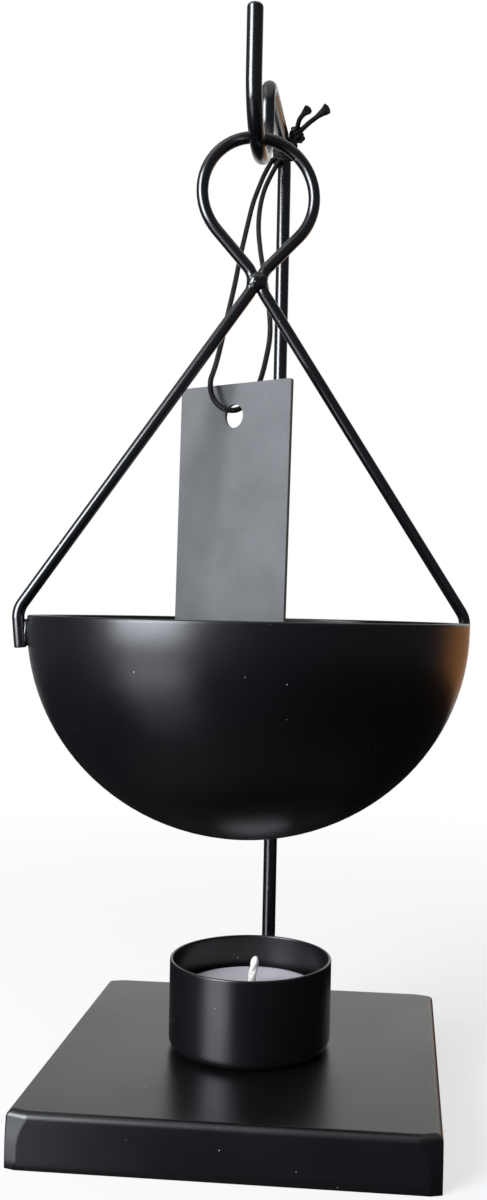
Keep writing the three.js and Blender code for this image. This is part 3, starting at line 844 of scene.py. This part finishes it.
class BURNER_OT_cord(Operator):
    """Make the tag's elastic cord with its hitch, knot and cut ends"""

    bl_idname = "burner.cord"
    bl_label = "Tag cord"

    def execute(self, context):
        diameter = context.scene.burner_tag.cord
        pieces = [
            make_hitch(context),
            make_knot(context),
            make_tail(context, "short_tail", "cord_tail_short", TAIL_SHORT, flare=0.85),
            make_tail(context, "long_tail", "cord_tail_long", TAIL_LONG, flare=1.2),
        ]
        line = smooth_route(CORD_ROUTE, LOOP_STEP)
        bm = bmesh.new()
        sweep(bm, line, diameter / 2, LOOP_SIDES)
        cord = finish_piece(bm, "cord_loop", "stand", "tag_cord", "elastic_cord", braid_for(context))
        cord.parent = None
        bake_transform(cord)
        return {"FINISHED"}


# Stand


# A corner's ground flat: its slant along y, where it starts to widen, and how far in over the top it ends
GROUND_SLANT, GROUND_WIDENS, GROUND_END = 0.3, 0.4, 0.04
WALL_LEVELS = (0.0, 0.2, 0.4, 0.52, 0.62, 0.71, 0.79, 0.86, 0.93, 1.0)
FOLD_STEPS = 8
CROWN, CROWN_INSETS = 0.00003, (0.004, 0.008, 0.014, 0.022, 0.032)
# The corner's cut as it is first made, before each level scales it
CUT, CUT_ROUNDING = 0.003, 0.16


def tray_levels(sheet, height):
    """Levels up the tray's wall, round its fold and in over its top.

    Each has its height, its inset and the corner's cuts along x and y. A corner's weld is ground to a
    flat, which grows wider near the fold.
    """
    bend = sheet.tray_bend
    low, high = (Vector((wide, wide * GROUND_SLANT)) for wide in (sheet.ground_low, sheet.ground_high))
    levels = []
    for share in WALL_LEVELS:
        flare = max(0.0, (share - GROUND_WIDENS) / (1 - GROUND_WIDENS)) ** 2
        levels.append((share * (height - bend), 0.0, low.lerp(high, flare)))
    narrowing = 1 / high.x + 1 / high.y - math.hypot(1 / high.x, 1 / high.y)
    for step in range(1, FOLD_STEPS + 1):
        turn = QUARTER * step / FOLD_STEPS
        inset = bend * (1 - math.cos(turn))
        crown = CROWN if step == FOLD_STEPS else 0
        levels.append((height - crown - bend * (1 - math.sin(turn)), inset, high * (1 - inset * narrowing)))
    last = levels[-1][2]
    for inset in CROWN_INSETS:
        fall = CROWN * (inset / CROWN_INSETS[-1] - 1) ** 2
        levels.append((height - fall, inset, last * (1 - inset / GROUND_END)))
    return levels


class BURNER_OT_tray(Operator):
    """Make the folded base tray, with its corners welded and ground"""

    bl_idname = "burner.tray"
    bl_label = "Base tray"

    def execute(self, context):
        sheet = context.scene.burner_sheet
        foot, half, height = measure("base_tray")
        levels = tray_levels(sheet, height)
        bm = bmesh.new()
        bmesh.ops.create_grid(bm, x_segments=1, y_segments=1, size=half)
        round_off(bm, bm.verts[:], CUT, 1, "VERTICES")
        round_off(bm, bm.verts[:], CUT * CUT_ROUNDING, 4, "VERTICES")
        edges = bm.edges[:]
        bmesh.ops.delete(bm, geom=bm.faces[:], context="FACES_ONLY")
        for _ in levels[1:]:
            made = bmesh.ops.extrude_edge_only(bm, edges=edges)["geom"]
            verts = set(only(made, BMVert))
            edges = [edge for edge in only(made, BMEdge) if set(edge.verts) <= verts]
            bmesh.ops.translate(bm, verts=list(verts), vec=(0, 0, 1))
        bmesh.ops.contextual_create(bm, geom=edges)
        for v in bm.verts:
            z, inset, cuts = levels[round(v.co.z)]
            for axis in (0, 1):
                share = max(0.0, half - abs(v.co[axis])) / CUT
                v.co[axis] = math.copysign(half - inset - cuts[axis] * share, v.co[axis])
            v.co.z = z
        bmesh.ops.translate(bm, verts=bm.verts[:], vec=foot)
        bmesh.ops.recalc_face_normals(bm, faces=bm.faces[:])
        tray = finish_piece(bm, "tray_shell", "stand", "base_tray", "powder_coat", sheet_coat(context))
        give_wall(tray, sheet.tray_sheet)
        weigh_normals(tray)
        return {"FINISHED"}


ROD_RADIUS, ROD_Y, RUN_Z, HOOK_Z = 0.002, 0.0545, 0.2685, 0.2439
# The tip is rounded, and ends a little under the top of the frame's
TIP_DROP, TIP_ROUNDING, FOOT_ROUNDING = 0.0006, 0.0009, 0.0004
# Half of the collar's outline, from inside the rod out over its rounded shoulder and back
COLLAR_START = Vector((0.0019, 0, 0))
COLLAR_MOVES = [(0.0014, 0), (0.0003, QUARTER), (0.0004, 0), (0.0005, math.radians(60)), (0.0009, 0)]


class BURNER_OT_upright(Operator):
    """Make the bent rod with its hook, its collar and its threaded foot"""

    bl_idname = "burner.upright"
    bl_label = "Upright rod"

    def execute(self, context):
        low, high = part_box("upright")
        tray_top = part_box("base_tray")[1].z
        rear, hump, hook = ROD_BENDS
        start = Vector((0, ROD_Y, low.z))
        moves = [
            (RUN_Z - rear - low.z, 0),
            (rear, QUARTER),
            (ROD_Y - rear - measure("bowl")[0].y - hook - hump, 0),
            (hump, QUARTER),
            (RUN_Z - hump - HOOK_Z - hook, 0),
            (hook, -2 * QUARTER),
            (high.z - TIP_DROP - HOOK_Z - hook, 0),
        ]
        bm = bmesh.new()
        feed = ring(bm, ROD_RADIUS, ROD_SIDES, Matrix.Translation(start))
        foot = only(feed, BMEdge)
        tip = trace(bm, feed, start, (0, 0, 1), (1, 0, 0), moves)
        cap(bm, only(tip, BMEdge), TIP_ROUNDING, steps=5)
        cap(bm, foot, FOOT_ROUNDING, steps=2)
        bmesh.ops.recalc_face_normals(bm, faces=bm.faces[:])
        rod = finish_piece(bm, "bent_rod", "stand", "upright", "powder_coat", wire_coat(context))
        weigh_normals(rod)
        make_collar(context, Vector((0, ROD_Y, tray_top)))
        plate_with_zinc("upright_nut")
        return {"FINISHED"}


def make_collar(context, foot):
    """The small collar that is pressed round the rod and sits on the tray."""
    bm = bmesh.new()
    start = bmesh.ops.create_vert(bm, co=foot + COLLAR_START)["vert"]
    trace(bm, start, foot + COLLAR_START, (1, 0, 0), (0, -1, 0), COLLAR_MOVES, step=math.radians(15))
    lathe(bm, foot, COLLAR_STEPS)
    finish_piece(bm, "rod_collar", "stand", "upright", "powder_coat", wire_coat(context))


def plate_with_zinc(node):
    """A frame node that keeps its shape gets bright zinc."""
    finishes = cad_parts[node].data.materials
    finishes.clear()
    finishes.append(kept("bright_zinc_plated_steel", zinc_plate))


# Narrow strips beside a cup's bend and rim keep its wall flat
STRIP = 0.0008
HOLDER_FILLET, HOLDER_RIM = 0.0028, 0.42


def cup_profile(bm, centre, radius, height, fillet):
    """Half of a drawn cup's outside: from the middle of its foot, round the corner and up its wall."""
    start = bmesh.ops.create_vert(bm, co=centre)["vert"]
    moves = [
        (radius - fillet - STRIP, 0),
        (STRIP, 0),
        (fillet, QUARTER),
        (STRIP, 0),
        (height - fillet - 2 * STRIP, 0),
        (STRIP, 0),
    ]
    trace(bm, start, centre, (1, 0, 0), (0, -1, 0), moves, step=math.radians(10))
    lathe(bm, centre, CUP_STEPS)


class BURNER_OT_holder(Operator):
    """Make the drawn steel cup that holds the tealight"""

    bl_idname = "burner.holder"
    bl_label = "Tealight holder"

    def execute(self, context):
        sheet = context.scene.burner_sheet.holder_sheet
        bm = bmesh.new()
        cup_profile(bm, *measure("tealight_holder"), HOLDER_FILLET)
        coat = sheet_coat(context)
        holder = finish_piece(bm, "holder_cup", "stand", "tealight_holder", "powder_coat", coat)
        give_wall(holder, sheet, sheet * HOLDER_RIM)
        return {"FINISHED"}


# Hanging bowl


# The bowl's straight band at its rim, and the rounding of the rim as a share of the sheet
BOWL_BAND, BOWL_RIM = 0.002, 0.45


class BURNER_OT_bowl(Operator):
    """Make the drawn steel bowl"""

    bl_idname = "burner.bowl"
    bl_label = "Bowl"

    def execute(self, context):
        sheet = context.scene.burner_sheet.bowl_sheet
        foot, radius, depth = measure("bowl")
        half_band = BOWL_BAND / 2
        bm = bmesh.new()
        start = bmesh.ops.create_vert(bm, co=(0, 0, -radius))["vert"]
        bend = [(radius, QUARTER)]
        edge = trace(bm, start, (0, 0, -radius), (1, 0, 0), (0, -1, 0), bend, step=math.radians(3))
        bmesh.ops.scale(bm, vec=(1, 1, (depth - BOWL_BAND) / radius), verts=bm.verts[:])
        trace(bm, edge, (radius, 0, 0), (0, 0, 1), (0, -1, 0), [(half_band, 0), (half_band, 0)])
        lathe(bm, (0, 0, 0), BOWL_STEPS)
        bmesh.ops.translate(bm, verts=bm.verts[:], vec=(foot.x, foot.y, foot.z + depth - BOWL_BAND))
        bowl = finish_piece(bm, "bowl_shell", "hanger", "bowl", "powder_coat", sheet_coat(context))
        give_wall(bowl, sheet, sheet * BOWL_RIM)
        return {"FINISHED"}


WIRE_RADIUS = 0.0015
LOOP_BEND, WAIST_BEND, SHOULDER_BEND = 0.0143, 0.0055, 0.006
WAIST_Z, WAIST_OUT = 0.2115, 0.0066
# A leg ends on the wall this far under the rim of a bowl this deep, with its middle this far out
LEG_DROP, LEG_BOWL_DEPTH, LEG_OUT = 0.006, 0.053, 0.0018
LEG_END, LEG_LEAN, LEG_ROUNDING, SHOULDER_DROP = 0.007, math.radians(5), 0.0004, 0.001
BAIL_TURN = math.radians(17)
WAIST_WELD, LEG_WELD = (0.0029, 0.0025, 0.0029), (0.0009, 0.0015, 0.0036)
LEG_WELD_OUT, LEG_WELD_DROP = 0.0002, 0.0043
# A lump of weld: its girth between the wires, and how far its corners and its waves stand out
WELD_GIRTH, WELD_CORNERS, CORNER_CURVE, WELD_WAVES = 0.93, 0.1, 1.5, 0.06
WAVE_SCALE, WAVE_START = 1.9, Vector((3.1, 0.4, 7.7))


def crossing_run(across, rise, radii, side):
    """Heading and length of the straight run between two bends that turn opposite ways."""
    distance = math.hypot(across, rise)
    heading = math.atan2(rise, across) + side * math.asin(radii / distance)
    return heading, math.sqrt(distance**2 - radii**2)


def bail_moves(loop_top, rim, bowl_radius):
    """The bends of one half of the bail, from the top of its loop to its end on the bowl."""
    end_out = bowl_radius * math.sqrt(1 - (LEG_DROP / LEG_BOWL_DEPTH) ** 2) + LEG_OUT
    shoulder_out = end_out + LEG_END * math.tan(LEG_LEAN) - SHOULDER_BEND * math.cos(LEG_LEAN)
    shoulder_z = rim - SHOULDER_DROP + SHOULDER_BEND * math.sin(LEG_LEAN)
    neck, neck_run = crossing_run(WAIST_OUT, WAIST_Z - (loop_top - LOOP_BEND), LOOP_BEND + WAIST_BEND, -1)
    leg, leg_run = crossing_run(shoulder_out - WAIST_OUT, shoulder_z - WAIST_Z, WAIST_BEND + SHOULDER_BEND, 1)
    down = -QUARTER - LEG_LEAN
    return [
        (LOOP_BEND, neck),
        (neck_run, 0),
        (WAIST_BEND, leg - neck),
        (leg_run, 0),
        (SHOULDER_BEND, down - leg),
        (LEG_END / math.cos(LEG_LEAN), 0),
    ]


class BURNER_OT_bail(Operator):
    """Make the wire bail, whose waist is welded"""

    bl_idname = "burner.bail"
    bl_label = "Bail"

    def execute(self, context):
        bowl, bowl_radius, depth = measure("bowl")
        rim = bowl.z + depth
        loop_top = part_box("bail")[1].z - WIRE_RADIUS
        start = Vector((0, 0, loop_top))
        moves = bail_moves(loop_top, rim, bowl_radius)
        bm = bmesh.new()
        place = Matrix.Translation(start) @ Matrix.Rotation(QUARTER, 4, "Y")
        feed = ring(bm, WIRE_RADIUS, WIRE_SIDES, place)
        end = trace(bm, feed, start, (1, 0, 0), (0, -1, 0), moves, step=math.radians(6))
        cap(bm, only(end, BMEdge), LEG_ROUNDING)
        bmesh.ops.mirror(bm, geom=bm.verts[:] + bm.edges[:] + bm.faces[:], axis="X", merge_dist=MERGE)
        bmesh.ops.recalc_face_normals(bm, faces=bm.faces[:])
        add_weld(bm, (0, 0, WAIST_Z), WAIST_WELD)
        for side in (-1, 1):
            add_weld(bm, (side * (bowl_radius + LEG_WELD_OUT), 0, rim - LEG_WELD_DROP), LEG_WELD)
        turn = Matrix.Translation((bowl.x, bowl.y, 0)) @ Matrix.Rotation(BAIL_TURN, 4, "Z")
        bmesh.ops.transform(bm, matrix=turn, verts=bm.verts[:])
        bail = finish_piece(bm, "bail_wire", "hanger", "bail", "powder_coat", wire_coat(context))
        weigh_normals(bail)
        return {"FINISHED"}


def add_weld(bm, place, size):
    """A run of weld that fills a gap: a lump with four corners, one along each wire, rounded by the coat."""
    bead = bmesh.ops.create_icosphere(bm, subdivisions=5, radius=1)["verts"]
    for v in bead:
        corner = (abs(v.co.x * v.co.z) * 2) ** CORNER_CURVE
        wave = noise.noise(v.co * WAVE_SCALE + WAVE_START)
        v.co *= WELD_GIRTH + WELD_CORNERS * corner + WELD_WAVES * wave
    spot = Matrix.Translation(place) @ Matrix.Diagonal((*size, 1))
    bmesh.ops.transform(bm, matrix=spot, verts=bead)


# Tealight


class BURNER_OT_tealight(Operator):
    """Make the foil cup, the wax, the sustainer's finish and the wick"""

    bl_idname = "burner.tealight"
    bl_label = "Tealight"

    def execute(self, context):
        candle = context.scene.burner_candle
        make_foil_cup(candle)
        make_wax(candle)
        make_wick(candle)
        plate_with_zinc("wick_sustainer")
        return {"FINISHED"}


FOIL_FILLET, FOIL, FOIL_RIM = 0.001, 0.0004, 0.00015
WAX_FILLET, WAX_RINGS = 0.001, 24
# The wax climbs at the cup's wall and round the wick, and is dished and uneven between
WAX_EDGE, WAX_DISH, WAX_CLIMB, WAX_CLIMB_WIDTH = 0.0006, 0.00035, 0.0006, 0.0018
WAX_UNEVEN, WAX_UNEVEN_SCALE, WAX_TOP, WAX_FREE = 0.00006, 400, 0.0001, 0.9
STRANDS, STRAND_RADIUS, STRAND_OUT, STRAND_TWIST = 3, 0.00074, 0.0004, 700
# The wick's half width in the frame, and its tip: its drop, its share of the length and its narrowing
WICK_HALF, WICK_STEPS = 0.0011, 60
WICK_DROP, WICK_TIP, WICK_GATHER, WICK_END = 0.0003, 0.07, 0.6, 0.12


def make_foil_cup(candle):
    bm = bmesh.new()
    cup_profile(bm, *measure("tealight_cup"), FOIL_FILLET)
    cup = finish_piece(bm, "foil_cup", "tealight", "tealight_cup", "foil", drawn_foil(candle))
    give_wall(cup, FOIL, FOIL_RIM)


def make_wax(candle):
    """Wax stands a little higher at its rim and round the wick, where it clung as it set."""
    foot, radius, height = measure("tealight_wax")
    inner = radius - WAX_EDGE
    bm = bmesh.new()
    start = bmesh.ops.create_vert(bm, co=foot)["vert"]
    moves = [
        (radius - WAX_FILLET, 0),
        (WAX_FILLET, QUARTER),
        (height - WAX_FILLET - WAX_EDGE, 0),
        (WAX_EDGE, QUARTER),
        *[(inner / WAX_RINGS, 0)] * WAX_RINGS,
    ]
    trace(bm, start, foot, (1, 0, 0), (0, -1, 0), moves, step=math.radians(15))
    lathe(bm, foot, CUP_STEPS)
    for v in bm.verts:
        out = math.hypot(v.co.x - foot.x, v.co.y - foot.y)
        if v.co.z > foot.z + height - WAX_TOP and out < radius - WAX_EDGE * WAX_FREE:
            dish = WAX_DISH * math.sin(math.pi * out / inner) ** 2
            climb = WAX_CLIMB * math.exp(-((out / WAX_CLIMB_WIDTH) ** 2))
            v.co.z += climb - dish + WAX_UNEVEN * noise.noise(v.co * WAX_UNEVEN_SCALE)
    finish_piece(bm, "wax_fill", "tealight", "tealight_wax", "wax", paraffin_wax(candle))


def make_wick(candle):
    """Three twisted strands, waxed, which lean a little and end in a rounded tip."""
    low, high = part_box("wick")
    foot = Vector((0, measure("tealight_cup")[0].y, low.z))
    wax_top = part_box("tealight_wax")[1].z
    bm = bmesh.new()
    for strand in range(STRANDS):
        line, girth = [], []
        for i in range(WICK_STEPS + 1):
            share = i / WICK_STEPS
            z = low.z + (high.z - low.z - WICK_DROP) * share
            above = max(0, (z - wax_top) / (high.z - wax_top))
            tip = max(0, (share - 1) / WICK_TIP + 1)
            angle = math.radians(strand * 360 / STRANDS + share * STRAND_TWIST)
            out = STRAND_OUT * (1 - WICK_GATHER * tip)
            spine = foot + Vector(((high.x - WICK_HALF) * above, 0, z - low.z))
            line.append(spine + Vector((math.cos(angle), math.sin(angle), 0)) * out)
            girth.append(math.sqrt(max(WICK_END, 1 - tip**2)))
        sweep(bm, line, STRAND_RADIUS, WICK_SIDES, girth)
    finish_piece(bm, "wick_braid", "tealight", "wick", "cotton", waxed_cotton(candle))


# Card tag


TAG_PLACE = (-0.0052, -0.0025, 0.1864)
TAG_SIZE = (0.036, 0.1075, 0.001)
TAG_HOLE, TAG_HOLE_DROP, TAG_HOLE_SIDES = 0.003, 0.0082, 48
TAG_CORNER, TAG_EDGE = 0.0005, 0.00012
TAG_YAW, TAG_ROLL = math.radians(-31.6), math.radians(-0.9)


class BURNER_OT_tag(Operator):
    """Make the bare card tag, which stands in the bowl"""

    bl_idname = "burner.tag"
    bl_label = "Card tag"

    def execute(self, context):
        tag = context.scene.burner_tag
        width, height, thickness = TAG_SIZE
        bm = bmesh.new()
        outline = bmesh.ops.create_grid(bm, x_segments=1, y_segments=1, size=0.5)["verts"]
        bmesh.ops.scale(bm, vec=(width, height, 1), verts=outline)
        bmesh.ops.translate(bm, verts=outline, vec=(0, -height / 2, 0))
        round_off(bm, outline, TAG_CORNER, 4, "VERTICES")
        bmesh.ops.delete(bm, geom=bm.faces[:], context="FACES_ONLY")
        hole = Matrix.Translation((0, -TAG_HOLE_DROP, 0))
        bmesh.ops.create_circle(bm, segments=TAG_HOLE_SIDES, radius=TAG_HOLE, matrix=hole)
        bmesh.ops.triangle_fill(bm, edges=bm.edges[:], use_beauty=True)
        made = bmesh.ops.extrude_face_region(bm, geom=bm.faces[:])["geom"]
        bmesh.ops.translate(bm, verts=only(made, BMVert), vec=(0, 0, thickness))
        bmesh.ops.translate(bm, verts=bm.verts[:], vec=(0, 0, -thickness / 2))
        bmesh.ops.recalc_face_normals(bm, faces=bm.faces[:])
        round_off(bm, [edge for edge in bm.edges if edge.calc_face_angle(0) > EDGE_ANGLE], TAG_EDGE, 2)
        for face in bm.faces:
            face.material_index = int(abs(face.normal.z) < 0.5)
        place = (
            Matrix.Translation(TAG_PLACE)
            @ Matrix.Rotation(TAG_YAW, 4, "Z")
            @ Matrix.Rotation(QUARTER, 4, "X")
            @ Matrix.Rotation(TAG_ROLL, 4, "Z")
        )
        bmesh.ops.transform(bm, matrix=place, verts=bm.verts[:])
        card = finish_piece(bm, "card_tag", "hanger", "tag", "tag_card", printed_card(tag), card_core(tag))
        weigh_normals(card)
        return {"FINISHED"}


# Add-on


OPERATORS = (
    BURNER_OT_stage,
    BURNER_OT_cord,
    BURNER_OT_tray,
    BURNER_OT_upright,
    BURNER_OT_holder,
    BURNER_OT_bowl,
    BURNER_OT_bail,
    BURNER_OT_tealight,
    BURNER_OT_tag,
)
GROUPS = {
    "burner_coat": BurnerCoat,
    "burner_sheet": BurnerSheet,
    "burner_candle": BurnerCandle,
    "burner_tag": BurnerTag,
    "burner_stage": BurnerStage,
}


class BURNER_PT_pieces(Panel):
    """Pieces of the burner, in the order in which they are made"""

    bl_label = "Amber burner"
    bl_space_type = "VIEW_3D"
    bl_region_type = "UI"
    bl_category = "Burner"

    def draw(self, context):
        for kind in OPERATORS:
            self.layout.operator(kind.bl_idname)
        for group in GROUPS:
            settings = getattr(context.scene, group)
            box = self.layout.box()
            for name in settings.bl_rna.properties.keys():
                if name not in {"rna_type", "name"}:
                    box.prop(settings, name)


CLASSES = (*GROUPS.values(), *OPERATORS, BURNER_PT_pieces)


def register():
    for kind in CLASSES:
        bpy.utils.register_class(kind)
    for name, group in GROUPS.items():
        setattr(bpy.types.Scene, name, PointerProperty(type=group))


def unregister():
    for name in GROUPS:
        delattr(bpy.types.Scene, name)
    for kind in reversed(CLASSES):
        bpy.utils.unregister_class(kind)


def main():
    register()
    bpy.ops.burner.stage()
    bpy.ops.burner.cord()
    bpy.ops.burner.tray()
    bpy.ops.burner.upright()
    bpy.ops.burner.holder()
    bpy.ops.burner.bowl()
    bpy.ops.burner.bail()
    bpy.ops.burner.tealight()
    bpy.ops.burner.tag()


if __name__ == "__main__":
    main()
